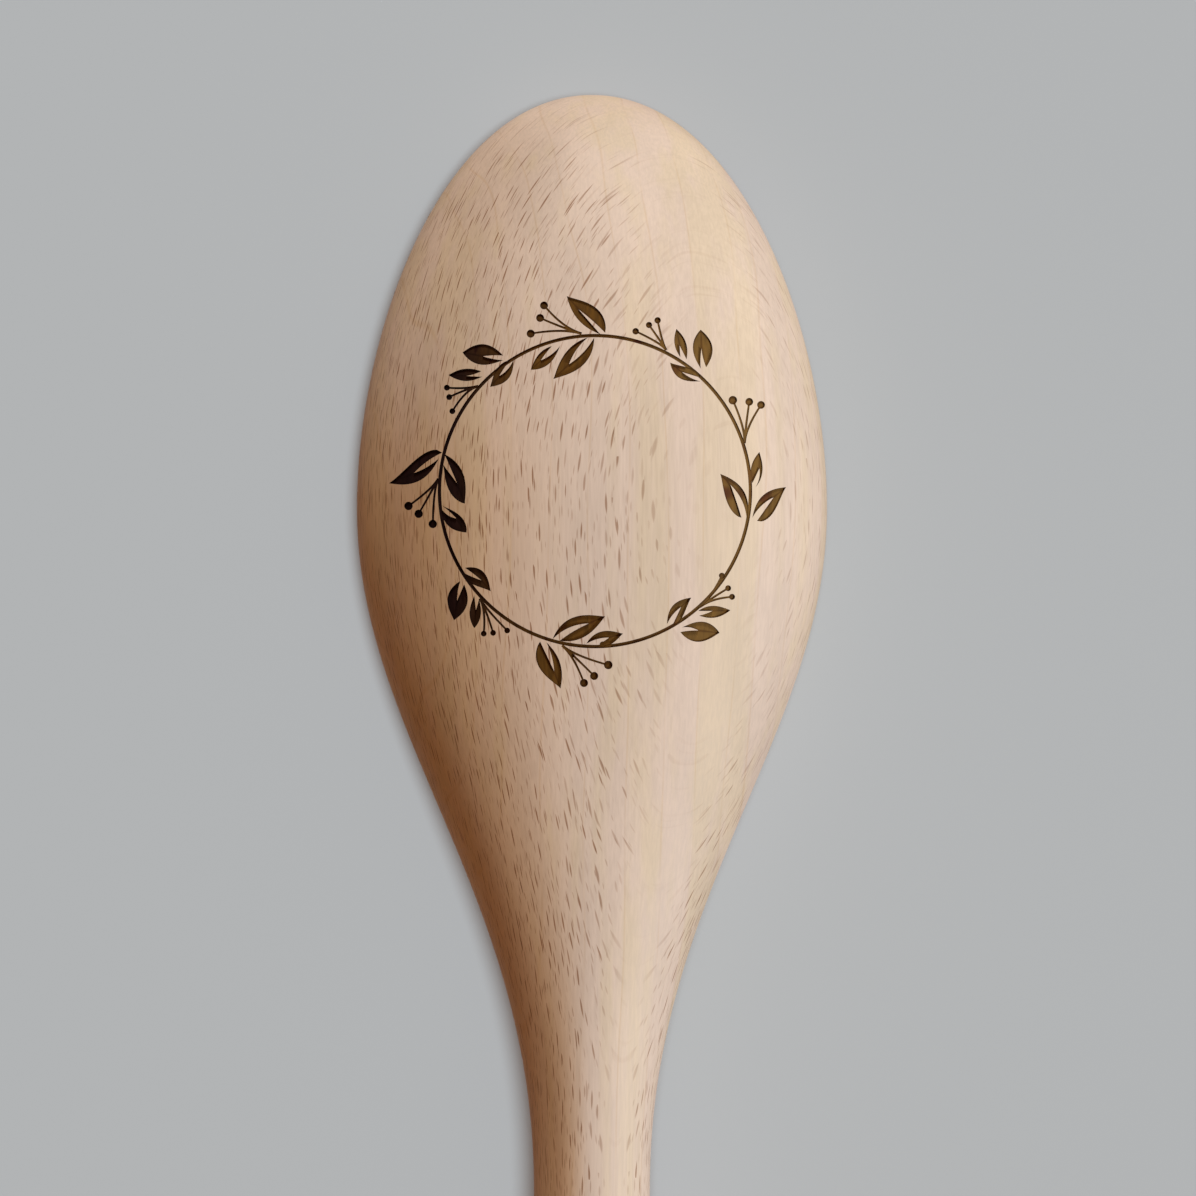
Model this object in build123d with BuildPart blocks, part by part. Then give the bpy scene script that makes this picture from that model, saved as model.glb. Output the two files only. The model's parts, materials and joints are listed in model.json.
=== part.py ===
"""Wooden cooking spoon, turned and hollowed from one beech blank.

It lies face down: the rim of the bowl and the end of the handle touch z = 0,
the rounded back is up, the tip points along +Y and the handle runs to -Y.
The origin is on the surface that it rests on, halfway along the spoon.
"""
from build123d import *
import os

os.makedirs("parts", exist_ok=True)

# Plan of the spoon, along it from the tip and across it
length = 300.0
bowl_width = 60.0
tip_to_widest = 52.8
tip_to_neck = 139.2
neck_diameter = 14.7
handle_end_diameter = 13.2

# Heights above the plane of the rim, and how far the round blank reached below it
bowl_height = 22.0
widest_level = 4.0
faced_off = 9.0
neck_lift = 1.2

# The hollow in the face
rim_width = 5.5
tip_rim_width = 6.0
tip_to_hollow_end = 98.0
hollow_depth = 13.0

# Sanded edges, and how far a cut runs past the wood
brim_round = 1.0
mouth_round = 0.8
overrun = 5.0

# How far each curve's handles reach, as shares of its own span
tip_shares = (0.635, 0.426)
crown_share = 0.62
shoulder_shares = (0.335, 0.436)
scoop_share = 0.55

# Sections that the bowl is lofted through, before and behind its widest place
front_steps = 6
back_steps = 6

tip_y = length / 2


def curve(values, t):
    """The cubic curve with these four control values, at t from 0 to 1."""
    start, leave, arrive, end = values
    s = 1 - t
    return start * s**3 + 3 * leave * s**2 * t + 3 * arrive * s * t**2 + end * t**3


def oval(along, half, level, top, bottom):
    """An upright oval this far from the tip: two half ellipses that meet at the level."""
    place = Plane(origin=(0, tip_y - along, level), x_dir=(1, 0, 0), z_dir=(0, -1, 0))
    with BuildSketch(place, mode=Mode.PRIVATE) as shape:
        with BuildLine():
            EllipticalCenterArc((0, 0), half, top - level, start_angle=0, arc_size=180)
            EllipticalCenterArc((0, 0), half, level - bottom, start_angle=180, arc_size=180)
        make_face()
    return shape.sketch


def ovals(curves, steps):
    """The ovals of one stretch, from its curves of distance, half width, level, top and bottom."""
    return [oval(*(curve(values, step / steps) for values in curves)) for step in range(1, steps + 1)]


# Half widths and levels that the stretches of the blank share
bowl_half = bowl_width / 2
neck_half = neck_diameter / 2
end_half = handle_end_diameter / 2
neck_level = neck_lift + neck_half
neck_top = neck_lift + neck_diameter
blank_bottom = -faced_off
tip_reach, front_reach = tip_shares[0], tip_shares[1] * tip_to_widest
shoulder = tip_to_neck - tip_to_widest

front = (
    (0, 0, tip_to_widest - front_reach, tip_to_widest),
    (0, tip_reach * bowl_half, bowl_half, bowl_half),
    (widest_level, widest_level, widest_level, widest_level),
    (widest_level, widest_level + crown_share * (bowl_height - widest_level), bowl_height, bowl_height),
    (widest_level, widest_level - tip_reach * (widest_level + faced_off), blank_bottom, blank_bottom),
)
back = (
    (
        tip_to_widest,
        tip_to_widest + shoulder_shares[0] * shoulder,
        tip_to_neck - shoulder_shares[1] * shoulder,
        tip_to_neck,
    ),
    (bowl_half, bowl_half, neck_half, neck_half),
    (widest_level, widest_level, neck_level, neck_level),
    (bowl_height, bowl_height, neck_top, neck_top),
    (blank_bottom, blank_bottom, neck_lift, neck_lift),
)

# The scoop is a round cutter: its axis lies so far below the face that the rim keeps its width
scoop_half = bowl_half - rim_width
scoop_axis = (scoop_half**2 - hollow_depth**2) / (2 * hollow_depth)
deepest_y = tip_y - tip_to_widest
mouth_ends = (tip_y - tip_rim_width, tip_y - tip_to_hollow_end)

# The end of the handle is a half ball
dome_start = length - end_half
dome_centre = (tip_y - dome_start, end_half)

with BuildPart() as spoon:
    # Turned blank: the bowl with its shoulders, the tapered handle and its domed end
    bowl = [*ovals(front, front_steps), *ovals(back, back_steps)]
    handle_end = oval(dome_start, end_half, end_half, handle_end_diameter, 0)
    loft([Vertex(0, tip_y, widest_level), *bowl])
    loft([bowl[-1], handle_end], ruled=True)
    with BuildSketch(Plane.YZ):
        with BuildLine():
            dome = CenterArc(dome_centre, end_half, start_angle=90, arc_size=90)
            Polyline(dome @ 1, dome_centre, dome @ 0)
        make_face()
    revolve(axis=Axis((0, 0, end_half), (0, 1, 0)))

    # The face is cut flat from the tip to the neck
    with BuildSketch(Plane.XY):
        with Locations((0, tip_y + overrun)):
            Rectangle(bowl_width + overrun, tip_to_neck + overrun, align=(Align.CENTER, Align.MAX))
    extrude(amount=-(faced_off + overrun), mode=Mode.SUBTRACT)

    # The hollow is scooped out of the face, deepest where the bowl is widest
    with BuildSketch(Plane.YZ):
        with BuildLine():
            starts = []
            for end in mouth_ends:
                crown = (deepest_y + scoop_share * (end - deepest_y), hollow_depth)
                path = Bezier((end, 0), crown, (deepest_y, hollow_depth))
                entry = PolarLine(path @ 0, overrun, direction=-(path % 0))
                starts.append(entry @ 1)
            Polyline(starts[0], *((start.X, -scoop_axis) for start in starts), starts[1])
        make_face()
    revolve(axis=Axis((0, 0, -scoop_axis), (0, 1, 0)), mode=Mode.SUBTRACT)

    # The rim is sanded round, outside and then at the mouth of the hollow
    rim = spoon.faces().filter_by(GeomType.PLANE).sort_by(SortBy.AREA)[-1]
    fillet(rim.outer_wire().edges(), radius=brim_round)
    rim = spoon.faces().filter_by(GeomType.PLANE).sort_by(SortBy.AREA)[-1]
    fillet(rim.inner_wires()[0].edges(), radius=mouth_round)

spoon.part.label = "spoon"
export_step(spoon.part, "parts/spoon.step")
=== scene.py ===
import json
import math

import bpy
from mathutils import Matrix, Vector

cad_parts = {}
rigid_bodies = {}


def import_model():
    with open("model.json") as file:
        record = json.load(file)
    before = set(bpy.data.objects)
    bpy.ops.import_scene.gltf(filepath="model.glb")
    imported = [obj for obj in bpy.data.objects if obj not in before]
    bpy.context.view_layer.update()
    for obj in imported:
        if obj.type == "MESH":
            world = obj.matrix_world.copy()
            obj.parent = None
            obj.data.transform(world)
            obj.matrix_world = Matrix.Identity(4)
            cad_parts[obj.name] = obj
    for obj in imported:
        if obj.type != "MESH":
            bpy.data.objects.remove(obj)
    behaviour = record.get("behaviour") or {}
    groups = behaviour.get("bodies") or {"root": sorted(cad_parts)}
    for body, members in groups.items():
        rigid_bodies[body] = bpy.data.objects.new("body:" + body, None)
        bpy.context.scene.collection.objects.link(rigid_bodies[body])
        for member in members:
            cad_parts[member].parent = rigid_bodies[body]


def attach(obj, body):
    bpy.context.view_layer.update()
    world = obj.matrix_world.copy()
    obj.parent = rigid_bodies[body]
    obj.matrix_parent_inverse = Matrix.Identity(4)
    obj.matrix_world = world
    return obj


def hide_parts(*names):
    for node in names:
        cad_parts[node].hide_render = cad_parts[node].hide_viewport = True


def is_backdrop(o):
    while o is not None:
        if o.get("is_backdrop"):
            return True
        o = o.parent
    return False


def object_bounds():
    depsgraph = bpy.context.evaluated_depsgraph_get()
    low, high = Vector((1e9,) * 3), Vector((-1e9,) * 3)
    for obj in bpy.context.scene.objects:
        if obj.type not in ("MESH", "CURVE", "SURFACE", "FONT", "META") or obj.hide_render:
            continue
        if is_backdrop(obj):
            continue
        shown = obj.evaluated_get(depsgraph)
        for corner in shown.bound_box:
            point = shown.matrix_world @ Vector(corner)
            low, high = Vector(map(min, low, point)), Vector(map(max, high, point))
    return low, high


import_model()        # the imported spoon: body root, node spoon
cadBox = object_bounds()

mm = 0.001
scene = bpy.context.scene


# small helpers for node trees, meshes and materials
def plug(tree, value, socket):
    if isinstance(value, bpy.types.NodeSocket):
        tree.links.new(value, socket)
    else:
        socket.default_value = value


def addNode(tree, kind, inputs=None, **settings):
    made = tree.nodes.new(kind)
    for key, value in settings.items():
        setattr(made, key, value)
    for key, value in (inputs or {}).items():
        plug(tree, value, made.inputs[key])
    return made


def maths(tree, operation, *values, clamp=False):
    made = addNode(tree, "ShaderNodeMath", dict(enumerate(values)), operation=operation, use_clamp=clamp)
    return made.outputs[0]


def add(tree, *values):
    return maths(tree, "ADD", *values)


def subtract(tree, *values):
    return maths(tree, "SUBTRACT", *values)


def multiply(tree, *values):
    return maths(tree, "MULTIPLY", *values)


def divide(tree, *values, clamp=False):
    return maths(tree, "DIVIDE", *values, clamp=clamp)


def root(tree, value):
    # a value below 0 counts as 0
    return maths(tree, "SQRT", maths(tree, "MAXIMUM", value, 0.0))


def vectorMaths(tree, operation, *values):
    made = addNode(tree, "ShaderNodeVectorMath", dict(enumerate(values)), operation=operation)
    return made.outputs[0]


def combine(tree, x, y, z=0.0):
    return addNode(tree, "ShaderNodeCombineXYZ", {0: x, 1: y, 2: z}).outputs[0]


def separate(tree, vector):
    return addNode(tree, "ShaderNodeSeparateXYZ", {0: vector}).outputs


def mixVectors(tree, share, a, b):
    made = addNode(tree, "ShaderNodeMix", {0: share, 4: a, 5: b}, data_type="VECTOR", clamp_factor=False)
    return made.outputs[1]


def bezier(tree, share, points):
    # de Casteljau: points are blended pair by pair until one is left
    while len(points) > 1:
        points = [mixVectors(tree, share, a, b) for a, b in zip(points, points[1:])]
    return points[0]


def placed(tree, geometry, position):
    return addNode(tree, "GeometryNodeSetPosition", {"Geometry": geometry, "Position": position}).outputs[0]


def welded(tree, geometry, distance):
    inputs = {"Geometry": geometry, "Distance": distance}
    return addNode(tree, "GeometryNodeMergeByDistance", inputs).outputs[0]


def newTree(name, sizes, objects=()):
    # a tree with one input for each object and each size
    tree = bpy.data.node_groups.new(name, "GeometryNodeTree")
    face = tree.interface
    face.new_socket(name="Geometry", in_out="INPUT", socket_type="NodeSocketGeometry")
    for key in objects:
        face.new_socket(name=key, in_out="INPUT", socket_type="NodeSocketObject")
    for key, value in sizes.items():
        kind = "NodeSocketInt" if isinstance(value, int) else "NodeSocketFloat"
        face.new_socket(name=key, in_out="INPUT", socket_type=kind)
    face.new_socket(name="Geometry", in_out="OUTPUT", socket_type="NodeSocketGeometry")
    start = tree.nodes.new("NodeGroupInput")
    return tree, start.outputs


def endTree(tree, geometry, material):
    whole = addNode(tree, "GeometryNodeRealizeInstances", {0: geometry}).outputs[0]
    painted = addNode(tree, "GeometryNodeSetMaterial", {"Geometry": whole, "Material": material}).outputs[0]
    addNode(tree, "NodeGroupOutput", {0: painted})


def plainMesh(name, mesh, tree, values):
    # runs a tree on a mesh and keeps only the plain mesh that comes out
    carrier = bpy.data.objects.new(name + "Carrier", mesh)
    scene.collection.objects.link(carrier)
    modifier = carrier.modifiers.new("shape", "NODES")
    modifier.node_group = tree
    for item in tree.interface.items_tree:
        if item.in_out == "INPUT" and item.name in values:
            modifier[item.identifier] = values[item.name]
    return finishedMesh(name, carrier)


def finishedMesh(name, carrier):
    evaluated = carrier.evaluated_get(bpy.context.evaluated_depsgraph_get())
    result = bpy.data.meshes.new_from_object(evaluated)
    result.name = name
    bpy.data.objects.remove(carrier)
    return result


def newObject(name, mesh):
    made = bpy.data.objects.new(name, mesh)
    scene.collection.objects.link(made)
    return made


def newMaterial(name):
    material = bpy.data.materials.new(name)
    material.use_nodes = True
    tree = material.node_tree
    tree.nodes.clear()
    shader = tree.nodes.new("ShaderNodeBsdfPrincipled")
    addNode(tree, "ShaderNodeOutputMaterial", {"Surface": shader.outputs[0]})
    return material, tree, shader


# camera, floor and lights, after the picture
photo = {
    "side": 0.15268,         # width of the square in the picture, at the level of the bowl's widest line
    "middle": (0.00077, 0.0858),
    "distance": 0.75,        # from the camera down to that level
    "focus": 0.004,          # height of that level above the floor
    "sensor": 36.0,          # in millimetres
    "nearest": 0.01,
}

cameraData = bpy.data.cameras.new("camera")
cameraData.sensor_width = photo["sensor"]
cameraData.lens = photo["sensor"] * photo["distance"] / photo["side"]
cameraData.clip_start = photo["nearest"]
camera = bpy.data.objects.new("camera", cameraData)
scene.collection.objects.link(camera)
camera.location = (*photo["middle"], photo["distance"] + photo["focus"])
scene.camera = camera
scene.view_settings.view_transform = "Standard"

studio = {
    "distance": 0.9,                      # from each lamp to the bowl
    "keyTowards": (0.75, -0.43, 0.50),    # direction of each lamp, from the bowl
    "keySize": 0.20,
    "keyPower": 6.3,
    "keyColour": (0.73, 0.89, 1.0),
    "tipTowards": (0.10, 0.84, 0.50),
    "tipSize": 0.20,
    "tipPower": 5.6,
    "tipColour": (0.86, 0.97, 1.0),
    "washTowards": (0.10, 0.02, 1.0),
    "washSpread": 0.44,
    "washStrength": 2.45,
    "washColour": (0.79, 0.92, 1.0),
    "ambient": (0.190, 0.109, 0.058),
    "floorSide": 16.0,
    "floorColour": (0.55, 0.55, 0.55, 1),
    "floorRoughness": 0.85,
    "floorSpecular": 0.2,
}


def hang(name, data):
    data.color = studio[name + "Colour"]
    lamp = bpy.data.objects.new(name + "Light", data)
    scene.collection.objects.link(lamp)
    way = Vector(studio[name + "Towards"]).normalized()
    lamp.location = Vector((*photo["middle"], 0)) + way * studio["distance"]
    lamp.rotation_euler = way.to_track_quat("Z", "Y").to_euler()
    return lamp


def areaLight(name):
    data = bpy.data.lights.new(name + "Light", "AREA")
    data.shape = "DISK"
    data.size = studio[name + "Size"]
    data.energy = studio[name + "Power"]
    return hang(name, data)


def evenLight(name):
    data = bpy.data.lights.new(name + "Light", "SUN")
    data.angle = studio[name + "Spread"]
    data.energy = studio[name + "Strength"]
    return hang(name, data)


def lightOnly(lamp, name, objects):
    # makes the lamp fall on these objects alone
    group = bpy.data.collections.new(name)
    for made in objects:
        group.objects.link(made)
    lamp.light_linking.receiver_collection = group


keyLight, tipLight, washLight = areaLight("key"), areaLight("tip"), evenLight("wash")

world = bpy.data.worlds.new("studioAir")
scene.world = world
world.use_nodes = True
air = world.node_tree.nodes["Background"]
air.inputs["Color"].default_value = (*studio["ambient"], 1)

half = studio["floorSide"] / 2
floorMesh = bpy.data.meshes.new("floor")
corners = [(-half, -half, 0), (half, -half, 0), (half, half, 0), (-half, half, 0)]
floorMesh.from_pydata(corners, [], [(0, 1, 2, 3)])
floor = newObject("floor", floorMesh)
floor.visible_diffuse = False      # the picture's floor throws no light back on the wood
floorMaterial, _, shader = newMaterial("paleFloor")
shader.inputs["Base Color"].default_value = studio["floorColour"]
shader.inputs["Roughness"].default_value = studio["floorRoughness"]
shader.inputs["Specular IOR Level"].default_value = studio["floorSpecular"]
floorMesh.materials.append(floorMaterial)
floor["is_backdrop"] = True
lightOnly(washLight, "washedFloor", [floor])
print("camera, floor and lights are in place")


# the beech of the spoon and its burnt face; sizes here are in millimetres
woodPatterns = {
    # one cell along the rays, along the grain and across both, then the pattern's detail and roughness
    "ringBend": ((12.0, 70.0, 12.0), 1.0, 0.5),
    "ringGap": ((3.0, 16.0, 3.0), 1.0, 0.5),
    "streak": ((2.4, 80.0, 2.4), 2.0, 0.5),
    "cloud": ((6.0, 40.0, 6.0), 2.0, 0.5),
    "fibre": ((0.30, 6.0, 0.30), 3.0, 0.6),
    "wander": ((9.0, 14.0, 9.0), 1.0, 0.5),
    "char": ((0.8, 5.0, 0.5), 3.0, 0.6),
}
# a fade is where it starts, where it ends, and what it gives there, which is 0 and 1 if nothing is said
beechLook = {
    "tilt": math.radians(23.5),             # how far the rays of the wood dip to the right
    "rosy": (0.81, 0.592, 0.462, 1),
    "honey": (0.80, 0.590, 0.418, 1),
    "toneWeights": (0.6, 1.6),              # of the rings' own tones and of the streaks
    "toneFade": (0.8, 1.4),                 # from rosy to honey
    "fibreFade": (0.25, 0.75, 0.94, 1.05),
    "cloudFade": (0.30, 0.70, 0.95, 1.04),
    "ringShade": (0.94, 0.90, 0.83, 1),     # what a ring's line leaves of the colour round it
    "ringSpacing": 4.2,
    "ringWidth": 0.34,
    "ringBend": 1.4,                        # how many rings the pattern swings by
    "ringScatter": 0.75,
    "ringSoftness": 0.5,
    "ringGapFade": (0.30, 0.62, 0.25, 1.0),
    "rayShade": (0.50, 0.36, 0.28, 1),      # what the darkest ray leaves of the colour round it
    "longRay": (3.9, 0.38),                 # room of one ray: along the grain, across
    "longMissing": 0.10,                    # share of those rooms that stay empty
    "shortRay": (2.2, 0.22),
    "shortMissing": 0.28,
    "shortStrength": 0.6,
    "raySize": (0.36, 0.185),               # half length and half width of a ray as shares of its room
    "rayGirth": (0.7, 1.3),                 # smallest and largest ray beside that size
    "rayEdge": 0.7,                         # softness of its edge
    "rayContrast": 1.3,
    "raySlide": 0.618,                      # sets the rays of one sheet off from the next
    "rayWander": 0.9,
    "endCutFade": (0.08, 0.42, 0.10, 1.0),  # the rays by how squarely the surface cuts them
    "steepFade": (0.42, 0.9, 1.0, 1.9),
    "slopeFade": (0.25, 0.70, 1.0, 0.40),   # by how far the surface tips along the grain
    "rightFade": (13.0, 24.0, 1.0, 0.45),   # and across the spoon to the right
    "paintedFlankShade": (0.94, 0.79, 0.60, 1),    # painted shade: the left flank, which faces away from the lamps, made darker and browner
    "paintedFlankShadeFade": (-0.82, -0.38, 1.0, 0.0),
    "paintedFlankShadeEnds": (95.0, 120.0, 1.0, 0.2),   # along the spoon towards the tip, where that painted shade fades
    "roughFade": (0.2, 0.8, 0.55, 0.71),
    "specular": 0.28,
    "bump": (0.35, 0.05),                   # strength and height
    "bumpWeights": (0.35, 0.5),             # of the fibres, and of the long rays that lie lower
}
burntLook = {
    "brown": (0.132, 0.054, 0.008, 1),
    "olive": (0.187, 0.091, 0.022, 1),
    "black": (0.020, 0.006, 0.005, 1),
    "paintedLightAndBurnOliveFade": (2.0, 14.0),               # across the spoon, where the burn turns from brown to olive: partly the burn's own change, partly painted light on the right
    "paintedShadeAndBurnBlackFade": (-7.0, -18.0),             # and from brown to black: partly the burn's own change, partly painted shade on the left
    "charFade": (0.25, 0.75, 0.72, 1.25),
    "ray": (3.4, 1.5),
    "rayShade": (0.50, 0.27, 0.45, 1),
    "rimShade": (0.60, 0.52, 0.50, 1),
    "rimFade": (0.55, 1.0),
    "roughFade": (0.2, 0.8, 0.62, 0.85),
    "specular": 0.10,
    "bump": (0.6, 0.06),
}


def objectPlace(tree):
    return addNode(tree, "ShaderNodeTexCoord").outputs["Object"]


def turned(tree, vector):
    inputs = {"Vector": vector, "Angle": -beechLook["tilt"]}
    return addNode(tree, "ShaderNodeVectorRotate", inputs, rotation_type="Y_AXIS").outputs[0]


def woodSpace(tree):
    # x runs along the rays, y along the grain, z across both
    return turned(tree, objectPlace(tree))


def stretch(tree, vector, cell):
    return vectorMaths(tree, "MULTIPLY", vector, [1 / (size * mm) for size in cell])


def pattern(tree, space, name):
    cell, detail, roughness = woodPatterns[name]
    place = stretch(tree, space, cell)
    inputs = {"Vector": place, "Scale": 1.0, "Detail": detail, "Roughness": roughness}
    return addNode(tree, "ShaderNodeTexNoise", inputs).outputs["Fac"]


def ramp(tree, value, low, high, toLow=0.0, toHigh=1.0):
    inputs = {"Value": value, "From Min": low, "From Max": high, "To Min": toLow, "To Max": toHigh}
    return addNode(tree, "ShaderNodeMapRange", inputs, interpolation_type="SMOOTHSTEP").outputs[0]


def placeRamp(tree, place, low, high, toLow=0.0, toHigh=1.0):
    # a ramp whose ends are places in millimetres
    return ramp(tree, place, low * mm, high * mm, toLow, toHigh)


def blend(tree, share, a, b, way="MIX"):
    return addNode(tree, "ShaderNodeMix", {0: share, 6: a, 7: b}, data_type="RGBA", blend_type=way).outputs[2]


def shaded(tree, colour, share, shade):
    return blend(tree, share, colour, shade, way="MULTIPLY")


def dimmed(tree, colour, value):
    return shaded(tree, colour, 1.0, combine(tree, value, value, value))


def rays(tree, space, room, missing=0.0):
    # a ray is a thin sheet that runs on along x, so its lens is drawn along the grain and across alone
    _, grain, across = separate(tree, stretch(tree, space, (1.0, *room)))
    slide = beechLook["raySlide"]
    place = combine(tree, maths(tree, "MULTIPLY_ADD", across, slide, grain), across)
    cell = addNode(tree, "ShaderNodeTexVoronoi", {"Vector": place, "Scale": 1.0, "Randomness": 1.0},
                   voronoi_dimensions="2D", feature="F1")
    slid, offAcross, _ = separate(tree, vectorMaths(tree, "SUBTRACT", place, cell.outputs["Position"]))
    offGrain = maths(tree, "MULTIPLY_ADD", offAcross, -slide, slid)
    chance, girth, _ = separate(tree, cell.outputs["Color"])
    least, most = beechLook["rayGirth"]
    reach = maths(tree, "MULTIPLY_ADD", girth, most - least, least)
    halfLength, halfWidth = (multiply(tree, reach, share) for share in beechLook["raySize"])
    long = divide(tree, offGrain, halfLength)
    wide = maths(tree, "ABSOLUTE", divide(tree, offAcross, halfWidth))
    depth = subtract(tree, subtract(tree, 1.0, multiply(tree, long, long)), wide)
    strength = maths(tree, "POWER", ramp(tree, chance, missing, 1.0), beechLook["rayContrast"])
    return multiply(tree, ramp(tree, depth, 0.0, beechLook["rayEdge"]), strength)


def raysInViewAndPaintedShade(tree):
    # a ray cut end on shows darkest, and one that runs along the surface only faintly
    normal = turned(tree, addNode(tree, "ShaderNodeNewGeometry").outputs["Normal"])
    facing, slope, _ = separate(tree, normal)
    endCut, slant = (maths(tree, "ABSOLUTE", part) for part in (facing, slope))
    across, along, _ = separate(tree, objectPlace(tree))
    shown, steep = (ramp(tree, endCut, *beechLook[key]) for key in ("endCutFade", "steepFade"))
    level = ramp(tree, slant, *beechLook["slopeFade"])
    side = placeRamp(tree, across, *beechLook["rightFade"])
    seen = multiply(tree, multiply(tree, shown, steep), multiply(tree, level, side))
    # painted shade: the left flank, which faces away from the lamps, is darkened from the wreath down
    flank = ramp(tree, facing, *beechLook["paintedFlankShadeFade"])
    return seen, multiply(tree, flank, placeRamp(tree, along, *beechLook["paintedFlankShadeEnds"]))


def wandering(tree, space):
    # the sheets of the rays are not quite flat
    swing = beechLook["rayWander"] * mm
    shift = maths(tree, "MULTIPLY_ADD", pattern(tree, space, "wander"), swing, -swing / 2)
    return vectorMaths(tree, "ADD", space, combine(tree, 0.0, 0.0, shift))


def yearRings(tree, space):
    # where the rings run, and a random number for each of them
    spacing = beechLook["ringSpacing"]
    bend = multiply(tree, pattern(tree, space, "ringBend"), beechLook["ringBend"])
    way = maths(tree, "MULTIPLY_ADD", separate(tree, space)[0], 1 / (spacing * mm), bend)
    rings = {"W": way, "Scale": 1.0, "Randomness": beechLook["ringScatter"]}
    edge = addNode(tree, "ShaderNodeTexVoronoi", rings,
                   voronoi_dimensions="1D", feature="DISTANCE_TO_EDGE").outputs["Distance"]
    tone = addNode(tree, "ShaderNodeTexVoronoi", {**rings, "Smoothness": beechLook["ringSoftness"]},
                   voronoi_dimensions="1D", feature="SMOOTH_F1").outputs["Color"]
    line = ramp(tree, edge, 0.0, beechLook["ringWidth"] / spacing / 2, 1.0, 0.0)
    broken = ramp(tree, pattern(tree, space, "ringGap"), *beechLook["ringGapFade"])
    return multiply(tree, line, broken), separate(tree, tone)[0]


def finishWood(tree, shader, look, colour, fibre, height):
    plug(tree, colour, shader.inputs["Base Color"])
    plug(tree, ramp(tree, fibre, *look["roughFade"]), shader.inputs["Roughness"])
    shader.inputs["Specular IOR Level"].default_value = look["specular"]
    strength, rise = look["bump"]
    bump = addNode(tree, "ShaderNodeBump", {"Strength": strength, "Distance": rise * mm, "Height": height})
    plug(tree, bump.outputs[0], shader.inputs["Normal"])


def makeBeech():
    material, tree, shader = newMaterial("beechWood")
    space = woodSpace(tree)
    line, tone = yearRings(tree, space)
    streak, cloud = pattern(tree, space, "streak"), pattern(tree, space, "cloud")
    fibre = pattern(tree, space, "fibre")
    toneWeight, streakWeight = beechLook["toneWeights"]
    mixed = add(tree, multiply(tree, tone, toneWeight), multiply(tree, streak, streakWeight))
    colour = blend(tree, ramp(tree, mixed, *beechLook["toneFade"]), beechLook["rosy"], beechLook["honey"])
    colour = shaded(tree, colour, line, beechLook["ringShade"])
    seen, flank = raysInViewAndPaintedShade(tree)
    # painted shade on the left flank, which faces away from the lamps
    colour = shaded(tree, colour, flank, beechLook["paintedFlankShade"])
    moved = wandering(tree, space)
    long = multiply(tree, rays(tree, moved, beechLook["longRay"], beechLook["longMissing"]), seen)
    short = multiply(tree, rays(tree, moved, beechLook["shortRay"], beechLook["shortMissing"]), seen)
    colour = shaded(tree, colour, long, beechLook["rayShade"])
    colour = shaded(tree, colour, multiply(tree, short, beechLook["shortStrength"]), beechLook["rayShade"])
    colour = dimmed(tree, colour, ramp(tree, fibre, *beechLook["fibreFade"]))
    colour = dimmed(tree, colour, ramp(tree, cloud, *beechLook["cloudFade"]))
    fibreWeight, rayWeight = beechLook["bumpWeights"]
    height = subtract(tree, multiply(tree, fibre, fibreWeight), multiply(tree, long, rayWeight))
    finishWood(tree, shader, beechLook, colour, fibre, height)
    return material


def makeBurntBeech():
    material, tree, shader = newMaterial("burntBeech")
    space = woodSpace(tree)
    across = separate(tree, objectPlace(tree))[0]
    # partly painted light and shade, partly the burn's own change: olive towards the lit right, black towards
    # the shaded left
    olive, black = (placeRamp(tree, across, *burntLook[key]) for key in ("paintedLightAndBurnOliveFade", "paintedShadeAndBurnBlackFade"))
    colour = blend(tree, olive, burntLook["brown"], burntLook["olive"])
    colour = blend(tree, black, colour, burntLook["black"])
    char = pattern(tree, space, "char")
    colour = dimmed(tree, colour, ramp(tree, char, *burntLook["charFade"]))
    streaks = rays(tree, wandering(tree, space), burntLook["ray"])
    colour = shaded(tree, colour, streaks, burntLook["rayShade"])
    rim = addNode(tree, "ShaderNodeAttribute", attribute_name="rim").outputs["Fac"]
    colour = shaded(tree, colour, ramp(tree, rim, *burntLook["rimFade"]), burntLook["rimShade"])
    finishWood(tree, shader, burntLook, colour, char, char)
    return material


beech = makeBeech()
burnt = makeBurntBeech()
print("materials are made")


# the spoon's body, by the same rule as the solid; lengths are in metres
spoonSizes = {
    "length": 0.300,
    "bowlWidth": 0.060,
    "tipToWidest": 0.0528,
    "tipToNeck": 0.1392,
    "neckDiameter": 0.0147,
    "handleEnd": 0.0132,
    "bowlHeight": 0.0220,
    "widestLevel": 0.0040,    # height of the bowl's widest line above its flat face
    "facedOff": 0.0090,       # how much the blank's belly loses where its face is cut flat
    "neckLift": 0.0012,       # height of the neck's underside above the face
    "rimWidth": 0.0055,
    "tipRim": 0.0060,
    "tipToHollowEnd": 0.0980,
    "hollowDepth": 0.0130,
    "brimRound": 0.0010,      # rounding of the rim's outer edge
    "mouthRound": 0.0009,     # and of its inner edge
    "tipReach": 0.635,        # this one and the next five set how full the curves are
    "frontReach": 0.426,
    "crownReach": 0.62,
    "shoulderStart": 0.335,
    "shoulderEnd": 0.436,
    "scoopReach": 0.55,
    "weld": 1e-6,
    "frontRows": 90,
    "backRows": 120,
    "handleRows": 40,
    "domeRows": 14,
    "topSteps": 72,
    "underSteps": 128,
}


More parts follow.
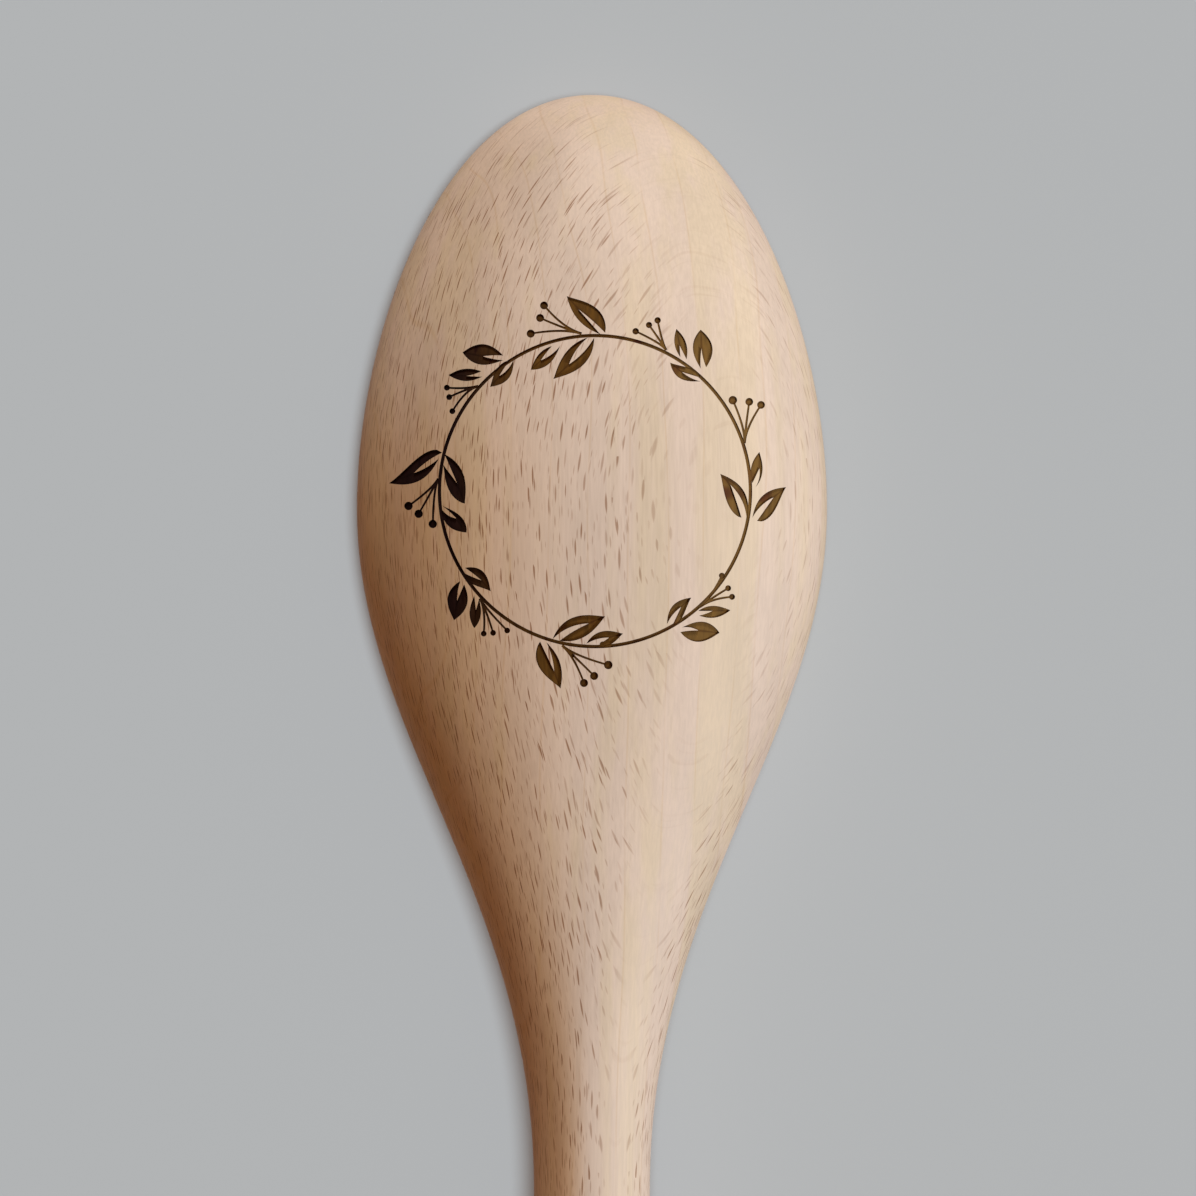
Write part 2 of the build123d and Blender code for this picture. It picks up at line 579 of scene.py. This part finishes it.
def spoonTree():
    tree, size = newTree("spoonShape", spoonSizes)
    bowlHalf, neckHalf, endHalf = (multiply(tree, size[key], 0.5)
                                   for key in ("bowlWidth", "neckDiameter", "handleEnd"))
    neckLevel = add(tree, size["neckLift"], neckHalf)
    neckTop = add(tree, size["neckLift"], size["neckDiameter"])
    bottom = multiply(tree, size["facedOff"], -1.0)
    domeStart = subtract(tree, size["length"], endHalf)
    level, widest, neck = size["widestLevel"], size["tipToWidest"], size["tipToNeck"]

    # rows from the tip, steps round each row
    columns = add(tree, add(tree, size["topSteps"], size["underSteps"]), 1.0)
    firstNeck = add(tree, size["frontRows"], size["backRows"])
    firstDome = add(tree, firstNeck, size["handleRows"])
    rows = add(tree, add(tree, firstDome, size["domeRows"]), 1.0)
    grid = addNode(tree, "GeometryNodeMeshGrid", {"Vertices X": rows, "Vertices Y": columns}).outputs["Mesh"]
    index = addNode(tree, "GeometryNodeInputIndex").outputs[0]
    row = maths(tree, "FLOOR", divide(tree, add(tree, index, 0.5), columns))
    column = subtract(tree, index, multiply(tree, row, columns))

    def shareGone(count, first, steps):
        # from 0 at the first step of a stretch to 1 at its end
        return divide(tree, subtract(tree, count, first), steps, clamp=True)

    frontShare = shareGone(row, 0.0, size["frontRows"])
    backShare = shareGone(row, size["frontRows"], size["backRows"])
    handleShare = shareGone(row, firstNeck, size["handleRows"])
    domeShare = shareGone(row, firstDome, size["domeRows"])

    # plan of each stretch: distance from the tip, half width, level of the widest line
    tipHalf = multiply(tree, bowlHalf, size["tipReach"])
    frontEnd = multiply(tree, widest, subtract(tree, 1.0, size["frontReach"]))
    shoulder = subtract(tree, neck, widest)
    leave = add(tree, widest, multiply(tree, shoulder, size["shoulderStart"]))
    arrive = subtract(tree, neck, multiply(tree, shoulder, size["shoulderEnd"]))
    tipPlan, widestPlan = combine(tree, 0.0, 0.0, level), combine(tree, widest, bowlHalf, level)
    neckPlan, endPlan = combine(tree, neck, neckHalf, neckLevel), combine(tree, domeStart, endHalf, endHalf)
    frontPlan = bezier(tree, frontShare, [tipPlan, combine(tree, 0.0, tipHalf, level),
                                          combine(tree, frontEnd, bowlHalf, level), widestPlan])
    backPlan = bezier(tree, backShare, [widestPlan, combine(tree, leave, bowlHalf, level),
                                        combine(tree, arrive, neckHalf, neckLevel), neckPlan])
    handlePlan = mixVectors(tree, handleShare, neckPlan, endPlan)
    turn = multiply(tree, domeShare, math.pi / 2)
    domeAlong = multiply(tree, endHalf, maths(tree, "SINE", turn))
    domeHalf = multiply(tree, endHalf, maths(tree, "COSINE", turn))
    domePlan = combine(tree, add(tree, domeStart, domeAlong), domeHalf, endHalf)

    # heights of each stretch: top and underside
    rise = subtract(tree, size["bowlHeight"], level)
    crown = add(tree, level, multiply(tree, rise, size["crownReach"]))
    belly = subtract(tree, level, multiply(tree, add(tree, level, size["facedOff"]), size["tipReach"]))
    wide = combine(tree, size["bowlHeight"], bottom)
    narrow = combine(tree, neckTop, size["neckLift"])
    frontHeights = bezier(tree, frontShare, [combine(tree, level, level), combine(tree, crown, belly),
                                             wide, wide])
    backHeights = bezier(tree, backShare, [wide, wide, narrow, narrow])
    handleHeights = mixVectors(tree, handleShare, narrow, combine(tree, size["handleEnd"], 0.0))
    domeHeights = combine(tree, add(tree, endHalf, domeHalf), subtract(tree, endHalf, domeHalf))

    def choose(front, back, handle, dome):
        pick = front
        for first, later in ((size["frontRows"], back), (firstNeck, handle), (firstDome, dome)):
            pick = mixVectors(tree, maths(tree, "GREATER_THAN", row, first), pick, later)
        return pick

    along, half, middle = separate(tree, choose(frontPlan, backPlan, handlePlan, domePlan))
    top, under, _ = separate(tree, choose(frontHeights, backHeights, handleHeights, domeHeights))

    # once round the row: over the back first, then under it
    topShare = shareGone(column, 0.0, size["topSteps"])
    underShare = shareGone(column, size["topSteps"], size["underSteps"])
    angle = multiply(tree, add(tree, topShare, underShare), math.pi)
    across = multiply(tree, half, maths(tree, "COSINE", angle))
    lift = maths(tree, "SINE", angle)
    overHeight = add(tree, middle, multiply(tree, subtract(tree, top, middle), lift))
    underHeight = add(tree, middle, multiply(tree, subtract(tree, middle, under), lift))

    # hollow: a round scoop whose axis lies below the face
    depth = size["hollowDepth"]
    scoopHalf = subtract(tree, bowlHalf, size["rimWidth"])
    squares = subtract(tree, multiply(tree, scoopHalf, scoopHalf), multiply(tree, depth, depth))
    axis = divide(tree, squares, multiply(tree, depth, 2.0))
    tipSpan, backSpan = subtract(tree, widest, size["tipRim"]), subtract(tree, size["tipToHollowEnd"], widest)
    behind = maths(tree, "GREATER_THAN", along, widest)
    span = add(tree, tipSpan, multiply(tree, behind, subtract(tree, backSpan, tipSpan)))
    away = divide(tree, maths(tree, "ABSOLUTE", subtract(tree, along, widest)), span)

    # its roof is a quadratic curve, and the share of that curve at a place comes from a square root
    straight = subtract(tree, 1.0, size["scoopReach"])
    curl = subtract(tree, 1.0, multiply(tree, straight, 2.0))
    square = maths(tree, "MULTIPLY_ADD", curl, subtract(tree, 1.0, away), multiply(tree, straight, straight))
    part = divide(tree, subtract(tree, root(tree, square), straight), curl)
    roof = multiply(tree, depth, multiply(tree, part, subtract(tree, 2.0, part)))
    radius = maths(tree, "MAXIMUM", add(tree, roof, axis), 0.0)
    inside = subtract(tree, multiply(tree, radius, radius), multiply(tree, across, across))
    scoop = subtract(tree, root(tree, inside), axis)
    face = maths(tree, "SMOOTH_MAX", scoop, 0.0, size["mouthRound"])
    cutHeight = maths(tree, "SMOOTH_MAX", underHeight, face, size["brimRound"])

    isUnder = maths(tree, "GREATER_THAN", column, size["topSteps"])
    height = addNode(tree, "ShaderNodeMix", {0: isUnder, 2: overHeight, 3: cutHeight}).outputs[0]
    place = combine(tree, across, subtract(tree, multiply(tree, size["length"], 0.5), along), height)
    closed = welded(tree, placed(tree, grid, place), size["weld"])
    endTree(tree, addNode(tree, "GeometryNodeFlipFaces", {"Mesh": closed}).outputs[0], beech)
    return tree


body = plainMesh("spoonBody", bpy.data.meshes.new("blank"), spoonTree(), spoonSizes)
print("spoon body:", len(body.vertices), "points,", len(body.polygons), "faces")


# the wreath that is burnt into the back; sizes are in metres
wreathSizes = {
    "middle": (0.00038, 0.09945),
    "proud": 0.0004,     # how far a cutter stands above the wood
    "weld": 2e-7,
    "ring": {
        "radius": 0.01985, "width": 0.00044, "depth": 0.00019, "turnSteps": 288, "crossSteps": 1,
        "nearRim": 0.72,     # how near its floor counts to the pocket's rim, where the burn is darkest
    },
    "leaves": {"depth": 0.00028, "longSteps": 20, "crossSteps": 2, "slitStep": 0.6, "sharpness": 2.1},
    "stems": {
        "startWidth": 0.00033, "endWidth": 0.00025, "depth": 0.00012, "longSteps": 10, "crossSteps": 1,
        "nearRim": 0.68,
    },
    "berries": {"depth": 0.00026, "edgeSteps": 20, "nearRim": 0.65},
}

# the rows below are in millimetres from the wreath's middle, as the picture shows it
# one line a leaf: its tip, the end of its slit, and its lobes to the left and right of the way to the tip;
# a lobe is its base, belly, share of the way where it is widest, and bow of the slit's edge
leafRows = (
    ((-3.6, 24.9), (-2.1, 23.2), (0.7, 20.0, 0.9, 0.5, 0), (1.3, 20.2, 1.5, 0.4, 0.02)),
    ((-5.3, 14.3), (-3.3, 16.2), (-0.1, 19.6, 1.45, 0.45, 0.06), (-0.9, 19.6, 0.95, 0.45, 0.07)),
    ((-8.2, 15.5), (-6.9, 16.7), (-4.4, 18.6, 0.9, 0.55, 0.07), (-5.5, 18.5, 0.55, 0.45, 0.02)),
    ((-16.9, 17.7), (-14.3, 17.2), (-11.7, 16.7, 1.1, 0.55, 0.03), (-11.7, 17.3, 1.25, 0.5, 0.03)),
    ((-18.7, 14.8), (-16.4, 14.7), (-14.4, 14.6, 0.65, 0.5, 0.01), (-14.5, 15.3, 0.55, 0.5, -0.04)),
    ((-13.4, 13.3), (-12.2, 14.7), (-10.4, 16.8, 1.1, 0.5, 0.09), (-10.8, 16.7, 0.7, 0.4, 0.03)),
    ((-26.3, 1.0), (-23.1, 2.3), (-19.9, 4.2, 1.45, 0.5, 0.05), (-19.5, 4.9, 1.05, 0.25, 0.05)),
    ((-16.6, -1.6), (-17.6, 1.0), (-19.2, 4.7, 1.25, 0.45, 0), (-19.4, 3.4, 0.95, 0.6, 0)),
    ((-16.4, -5.3), (-17.7, -3.5), (-19.6, -1.8, 0.85, 0.6, 0.03), (-19.7, -2.1, 1, 0.5, 0.11)),
    ((-13.3, -12.8), (-14.5, -11.4), (-16.6, -9.8, 1.2, 0.45, 0.02), (-16.8, -10.4, 0.6, 0.3, 0.02)),
    ((-18.0, -16.5), (-17.6, -14.0), (-16.7, -11.9, 1.05, 0.5, 0), (-17.2, -11.5, 1.25, 0.45, 0.04)),
    ((-15.4, -17.5), (-15.2, -15.2), (-14.8, -13.7, 0.55, 0.55, 0.02), (-15.4, -13.3, 0.6, 0.55, 0)),
    ((1.3, -16.0), (-0.8, -16.9), (-5.4, -18.9, 1.5, 0.45, 0.1), (-4.5, -19.1, 1.05, 0.45, -0.03)),
    ((3.6, -18.2), (1.8, -18.7), (-1.1, -19.5, 1, 0.45, 0.07), (0.7, -19.5, 0.6, 0.35, 0)),
    ((-4.4, -25.2), (-5.2, -23.0), (-6.2, -19.3, 0.9, 0.5, 0.05), (-7.0, -19.2, 1.45, 0.4, 0)),
    ((12.3, -13.6), (11.0, -14.8), (9.2, -17.0, 1.05, 0.5, 0.07), (9.9, -17.1, 0.5, 0.25, 0)),
    ((15.9, -18.1), (13.2, -17.8), (11.1, -17.4, 1.1, 0.55, 0.09), (10.9, -18.0, 1.2, 0.45, -0.03)),
    ((17.3, -15.2), (15.0, -15.3), (13.2, -15.3, 0.6, 0.45, 0), (13.3, -15.9, 0.6, 0.5, 0.03)),
    ((16.0, 2.2), (17.3, 0.8), (18.7, -3.4, 0.8, 0.35, -0.01), (19.4, -3.9, 1.55, 0.5, 0.1)),
    ((24.4, 0.5), (22.8, -0.8), (20.1, -3.4, 1.2, 0.5, 0.08), (20.7, -3.8, 0.9, 0.3, 0)),
    ((21.0, 5.0), (21.0, 2.9), (20.1, 1.0, 0.6, 0.5, 0), (20.5, 0.5, 0.65, 0.45, 0.09)),
    ((10.4, 20.7), (10.8, 18.6), (10.9, 17.1, 0.5, 0.5, 0), (11.7, 16.8, 0.6, 0.5, 0)),
    ((13.5, 20.6), (13.6, 18.2), (13.5, 15.6, 1, 0.55, 0.03), (14.2, 15.8, 1.15, 0.5, -0.04)),
    ((9.6, 16.4), (11.1, 15.2), (13.5, 14.0, 1.05, 0.55, 0.06), (13.4, 14.5, 0.55, 0.25, 0)),
)
# one line a sprig: where it leaves the ring, where it forks, and its berries with their radii
sprigRows = (
    ((-1.7, 20.1), (-4.1, 20.8), ((-6.5, 23.7, 0.51), (-7.0, 22.1, 0.51), (-8.2, 20.1, 0.52))),
    ((-14.9, 13.4), (-16.5, 13.0), ((-18.9, 13.2, 0.38), (-18.6, 12.0, 0.38), (-18.2, 10.2, 0.38))),
    ((-20.0, 1.6), (-20.6, 0.4), ((-23.8, -1.9, 0.54), (-22.5, -2.9, 0.54), (-20.7, -4.2, 0.54))),
    ((-14.7, -13.7), (-13.9, -15.1), ((-14.2, -18.2, 0.37), (-13.0, -18.1, 0.37), (-11.2, -17.8, 0.37))),
    ((-4.2, -19.7), (-2.7, -21.0), ((1.7, -22.2, 0.55), (-0.1, -23.6, 0.52), (-1.4, -24.5, 0.52))),
    ((13.4, -14.8), (14.8, -13.7), ((16.2, -10.8, 0.38), (17.0, -12.4, 0.38), (17.5, -13.5, 0.38))),
    ((19.1, 6.1), (19.2, 8.0), ((17.6, 11.6, 0.55), (19.7, 11.4, 0.5), (21.2, 11.0, 0.5))),
    ((9.1, 18.0), (8.6, 18.8), ((5.2, 20.4, 0.42), (6.9, 21.2, 0.4), (8.0, 21.8, 0.41))),
)
looseBerries = ((1.0, -19.6, 0.41), (-2.8, -21.0, 0.22))


def wreathPoint(place):
    x, y = wreathSizes["middle"]
    return (place[0] * mm + x, place[1] * mm + y, 0.0)


def pointMesh(name, points, **columns):
    # a mesh of loose points that carry the numbers of one shape each
    mesh = bpy.data.meshes.new(name)
    mesh.from_pydata(points, [], [])
    for key, values in columns.items():
        vector = not isinstance(values[0], float)
        layer = mesh.attributes.new(key, "FLOAT_VECTOR" if vector else "FLOAT", "POINT")
        flat = [number for value in values for number in (value if vector else (value,))]
        layer.data.foreach_set("vector" if vector else "value", flat)
    return mesh


def field(tree, key, vector=False):
    return addNode(tree, "GeometryNodeInputNamedAttribute", {"Name": key},
                   data_type="FLOAT_VECTOR" if vector else "FLOAT").outputs[0]


def store(tree, geometry, key, value, vector=False):
    inputs = {"Geometry": geometry, "Name": key, "Value": value}
    return addNode(tree, "GeometryNodeStoreNamedAttribute", inputs,
                   data_type="FLOAT_VECTOR" if vector else "FLOAT", domain="POINT").outputs[0]


def strip(tree, longSteps, crossSteps):
    # a flat strip whose points know their shares along it and across it
    counts = {"Vertices X": add(tree, longSteps, 1.0), "Vertices Y": add(tree, crossSteps, 1.0)}
    grid = addNode(tree, "GeometryNodeMeshGrid", counts).outputs["Mesh"]
    place = addNode(tree, "GeometryNodeInputPosition").outputs[0]
    return store(tree, grid, "shares", vectorMaths(tree, "ADD", place, (0.5, 0.5, 0.0)), vector=True)


def onPoints(tree, points, shape, scale=(1.0, 1.0, 1.0)):
    inputs = {"Points": points, "Instance": shape, "Scale": scale}
    spread = addNode(tree, "GeometryNodeInstanceOnPoints", inputs).outputs[0]
    return addNode(tree, "GeometryNodeRealizeInstances", {0: spread}).outputs[0]


def sideways(tree, towards):
    # unit vector to the left of a way, in the plan
    x, y, _ = separate(tree, vectorMaths(tree, "NORMALIZE", towards))
    return combine(tree, multiply(tree, y, -1.0), x)


def moveBy(tree, start, way, distance):
    inputs = {0: way, 1: combine(tree, distance, distance, distance), 2: start}
    return addNode(tree, "ShaderNodeVectorMath", inputs, operation="MULTIPLY_ADD").outputs[0]


def endPocket(tree, size, plan):
    # lays a flat plan on the wood, where the picture shows it, and carries it down to the depth
    flat = welded(tree, plan, wreathSizes["weld"])
    wood = addNode(tree, "GeometryNodeObjectInfo", {"Object": size["back"]}).outputs["Geometry"]
    x, y, _ = separate(tree, addNode(tree, "GeometryNodeInputPosition").outputs[0])
    eye = combine(tree, *photo["middle"], photo["distance"] + photo["focus"])
    sight = vectorMaths(tree, "SUBTRACT", combine(tree, x, y, photo["focus"]), eye)
    ray = addNode(tree, "GeometryNodeRaycast", {
        "Target Geometry": wood, "Source Position": eye, "Ray Direction": sight,
        "Ray Length": 2 * photo["distance"],
    })
    above = vectorMaths(tree, "ADD", ray.outputs["Hit Position"], (0, 0, wreathSizes["proud"]))
    laid = placed(tree, flat, above)
    pulled = addNode(tree, "GeometryNodeExtrudeMesh", {
        "Mesh": laid, "Offset": combine(tree, 0.0, 0.0, -1.0),
        "Offset Scale": add(tree, size["depth"], wreathSizes["proud"]), "Individual": False,
    }).outputs["Mesh"]
    flipped = addNode(tree, "GeometryNodeFlipFaces", {"Mesh": pulled}).outputs[0]
    both = addNode(tree, "GeometryNodeJoinGeometry", {"Geometry": flipped})
    plug(tree, laid, both.inputs[0])
    endTree(tree, welded(tree, both.outputs[0], wreathSizes["weld"]), burnt)


def ringTree():
    tree, size = newTree("wreathRing", wreathSizes["ring"], ["back"])
    band = strip(tree, size["turnSteps"], size["crossSteps"])
    long, cross, _ = separate(tree, field(tree, "shares", vector=True))
    angle = multiply(tree, long, -2 * math.pi)
    radius = maths(tree, "MULTIPLY_ADD", subtract(tree, cross, 0.5), size["width"], size["radius"])
    x, y = (maths(tree, "MULTIPLY_ADD", radius, maths(tree, way, angle), middle)
            for way, middle in zip(("COSINE", "SINE"), wreathSizes["middle"]))
    plan = placed(tree, band, combine(tree, x, y))
    endPocket(tree, size, store(tree, plan, "rim", size["nearRim"]))
    return tree


def leafTree():
    # one strip a lobe: from the edge of the slit, and then the leaf's middle line, to the outer edge
    tree, size = newTree("wreathLeaves", wreathSizes["leaves"], ["back"])
    spread = onPoints(tree, size["Geometry"], strip(tree, size["longSteps"], size["crossSteps"]))
    long, cross, _ = separate(tree, field(tree, "shares", vector=True))
    side, widest = field(tree, "side"), field(tree, "widest")
    home, tip, slit = (field(tree, key, vector=True) for key in ("home", "tip", "slit"))
    toTip, toSlit = (vectorMaths(tree, "SUBTRACT", end, home) for end in (tip, slit))

    # the outer edge swells from the way to the tip, most where the lobe is widest
    left, narrow = subtract(tree, 1.0, long), subtract(tree, 1.0, widest)
    rise, fall = (maths(tree, "POWER", divide(tree, gone, whole), multiply(tree, size["sharpness"], whole))
                  for gone, whole in ((long, widest), (left, narrow)))
    belly = multiply(tree, multiply(tree, rise, fall), field(tree, "belly"))
    chord = moveBy(tree, home, toTip, long)
    outer = moveBy(tree, chord, sideways(tree, toTip), multiply(tree, belly, side))

    # the inner edge follows the bowed slit to its end, and from there the middle line
    slitPart = divide(tree, long, size["slitStep"], clamp=True)
    solidSteps = subtract(tree, 1.0, size["slitStep"])
    solidPart = divide(tree, subtract(tree, long, size["slitStep"]), solidSteps, clamp=True)
    arch = multiply(tree, slitPart, subtract(tree, 1.0, slitPart))     # a quarter at its highest
    bow = multiply(tree, arch, multiply(tree, multiply(tree, field(tree, "bow"), side), 4.0))
    edge = moveBy(tree, moveBy(tree, home, toSlit, slitPart), sideways(tree, toSlit), bow)
    inner = mixVectors(tree, solidPart, edge, tip)

    # both lobes run from right to left, so that their faces point the same way
    share = maths(tree, "MULTIPLY_ADD", subtract(tree, cross, 0.5), side, 0.5)
    plan = placed(tree, spread, mixVectors(tree, share, inner, outer))
    rim = maths(tree, "ABSOLUTE", maths(tree, "MULTIPLY_ADD", cross, 2.0, -1.0))
    endPocket(tree, size, store(tree, plan, "rim", rim))
    return tree


def stemTree():
    tree, size = newTree("wreathStems", wreathSizes["stems"], ["back"])
    spread = onPoints(tree, size["Geometry"], strip(tree, size["longSteps"], size["crossSteps"]))
    long, cross, _ = separate(tree, field(tree, "shares", vector=True))
    start, fork, end = (field(tree, key, vector=True) for key in ("home", "fork", "berry"))
    out, back = mixVectors(tree, long, start, fork), mixVectors(tree, long, fork, end)
    spine = mixVectors(tree, long, out, back)
    way = vectorMaths(tree, "SUBTRACT", back, out)
    taper = subtract(tree, size["endWidth"], size["startWidth"])
    width = maths(tree, "MULTIPLY_ADD", long, taper, size["startWidth"])
    offset = multiply(tree, subtract(tree, cross, 0.5), width)
    plan = placed(tree, spread, moveBy(tree, spine, sideways(tree, way), offset))
    endPocket(tree, size, store(tree, plan, "rim", size["nearRim"]))
    return tree


def berryTree():
    # the burn darkens from a berry's middle to its edge
    tree, size = newTree("wreathBerries", wreathSizes["berries"], ["back"])
    disc = addNode(tree, "GeometryNodeMeshCircle", {"Vertices": size["edgeSteps"], "Radius": 1.0},
                   fill_type="TRIANGLE_FAN").outputs[0]
    place = addNode(tree, "GeometryNodeInputPosition").outputs[0]
    fromMiddle = addNode(tree, "ShaderNodeVectorMath", {0: place}, operation="LENGTH").outputs["Value"]
    more = subtract(tree, 1.0, size["nearRim"])
    disc = store(tree, disc, "rim", maths(tree, "MULTIPLY_ADD", fromMiddle, more, size["nearRim"]))
    endPocket(tree, size, onPoints(tree, size["Geometry"], disc, field(tree, "radius")))
    return tree


def leafPoints():
    # one point a lobe
    lobes = []
    for tip, slit, left, right in leafRows:
        for side, (x, y, belly, widest, bow) in ((1.0, left), (-1.0, right)):
            bowWidth = bow * math.dist((x, y), slit) * mm
            lobes.append((wreathPoint((x, y)), wreathPoint(tip), wreathPoint(slit),
                          side, belly * mm, widest, bowWidth))
    keys = ("home", "tip", "slit", "side", "belly", "widest", "bow")
    columns = dict(zip(keys, (list(column) for column in zip(*lobes))))
    return pointMesh("leafPoints", columns["home"], **columns)


def stemPoints(number):
    starts = [wreathPoint(row[0]) for row in sprigRows]
    return pointMesh("stemPoints", starts, home=starts, fork=[wreathPoint(row[1]) for row in sprigRows],
                     berry=[wreathPoint(row[2][number]) for row in sprigRows])


def berryPoints():
    berries = [berry for row in sprigRows for berry in row[2]] + list(looseBerries)
    return pointMesh("berryPoints", [wreathPoint(berry) for berry in berries],
                     radius=[berry[2] * mm for berry in berries])


def engrave(blank):
    # every part of the wreath cuts its own shallow pocket
    stems = stemTree()
    parts = [("ring", bpy.data.meshes.new("ringPoints"), ringTree()), ("leaves", leafPoints(), leafTree()),
             ("berries", berryPoints(), berryTree())]
    parts += [("stems", stemPoints(number), stems) for number in range(3)]     # three berries a sprig
    cutters = [plainMesh(f"{name}Cutter", points, tree, {**wreathSizes[name], "back": blank})
               for name, points, tree in parts]
    cuts = [newObject(mesh.name, mesh) for mesh in cutters]
    for cut in cuts:
        modifier = blank.modifiers.new(cut.name, "BOOLEAN")
        modifier.operation = "DIFFERENCE"
        modifier.solver = "MANIFOLD"
        modifier.object = cut
    engraved = finishedMesh("engravedSpoon", blank)
    for cut in cuts:
        bpy.data.objects.remove(cut)
    return engraved


body.materials.append(burnt)
spoonMesh = engrave(newObject("spoonBlank", body))
spoonMesh.materials.pop(index=0)         # the empty slot that the trees leave
# the rim's darkness stays, and the other numbers that the cutters carried go
for key in [layer.name for layer in spoonMesh.attributes if layer.domain == "POINT"]:
    if key not in ("position", "rim") and not key.startswith("."):
        spoonMesh.attributes.remove(spoonMesh.attributes[key])
print("engraved spoon:", len(spoonMesh.vertices), "points,", len(spoonMesh.polygons), "faces")

# a map of the wood for baking: the bowl's back, its underside and the handle rolled out, one above the other
mapSizes = {
    "margin": 0.006,
    "backHeight": 0.50,
    "underHeight": 0.25,
    "handleHeight": 0.226,
    "flankRoom": 20.0,       # how much wider the back is laid out for each metre below its crown
    "flankFrom": 0.020,      # a face further out than this counts as back,
    "flankNormal": -0.5,     # unless it faces down more steeply than this
}


def mapPlaces(mesh):
    neck, end = spoonSizes["length"] / 2 - spoonSizes["tipToNeck"], -spoonSizes["length"] / 2
    half, crown, margin = spoonSizes["bowlWidth"] / 2, spoonSizes["bowlHeight"], mapSizes["margin"]
    endHalf = spoonSizes["handleEnd"] / 2
    neckLevel = spoonSizes["neckLift"] + spoonSizes["neckDiameter"] / 2
    widest = half * (1 + mapSizes["flankRoom"] * crown)
    underFloor = margin + mapSizes["backHeight"] + margin
    handleFloor = underFloor + mapSizes["underHeight"] + margin

    def level(y):
        return endHalf + (neckLevel - endHalf) * (y - end) / (neck - end)

    def turnOf(place):
        # angle round the handle, with its seam along the bottom
        return math.atan2(place.x, place.z - level(place.y))

    for face in mesh.polygons:
        middle = face.center
        flank = abs(middle.x) > mapSizes["flankFrom"] and face.normal.z > mapSizes["flankNormal"]
        onBack = face.normal.z > 0 or face.material_index or flank
        for corner in face.loop_indices:
            place = mesh.vertices[mesh.loops[corner].vertex_index].co
            if middle.y < neck:
                turn = turnOf(place)
                turn -= 2 * math.pi * round((turn - turnOf(middle)) / (2 * math.pi))
                along = (place.y - end) / (neck - end)
                height = handleFloor + mapSizes["handleHeight"] * (turn / (2 * math.pi) + 0.5)
            else:
                along = (place.y - neck) / (-end - neck)
                if onBack:
                    across = place.x * (1 + mapSizes["flankRoom"] * (crown - place.z)) / widest
                    height = margin + mapSizes["backHeight"] * (across / 2 + 0.5)
                else:
                    height = underFloor + mapSizes["underHeight"] * (place.x / half / 2 + 0.5)
            yield corner, (margin + (1 - 2 * margin) * along, height)


places = dict(mapPlaces(spoonMesh))
bakeMap = spoonMesh.uv_layers.new(name="OFBake")
bakeMap.uv.foreach_set("vector", [number for corner in sorted(places) for number in places[corner]])
spoonMesh.shade_smooth()
sharpAngle = math.radians(35)
spoonMesh.set_sharp_from_angle(angle=sharpAngle)
print("the map for baking is laid out")

spoon = newObject("spoonWood", spoonMesh)
lightOnly(keyLight, "keyWood", [spoon])
lightOnly(tipLight, "tipWood", [spoon])

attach(spoon, "root")
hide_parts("spoon")
print("the spoon is in place")

sizes = {"cad": cadBox, "visual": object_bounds()}
{key: [list(corner) for corner in box] for key, box in sizes.items()}
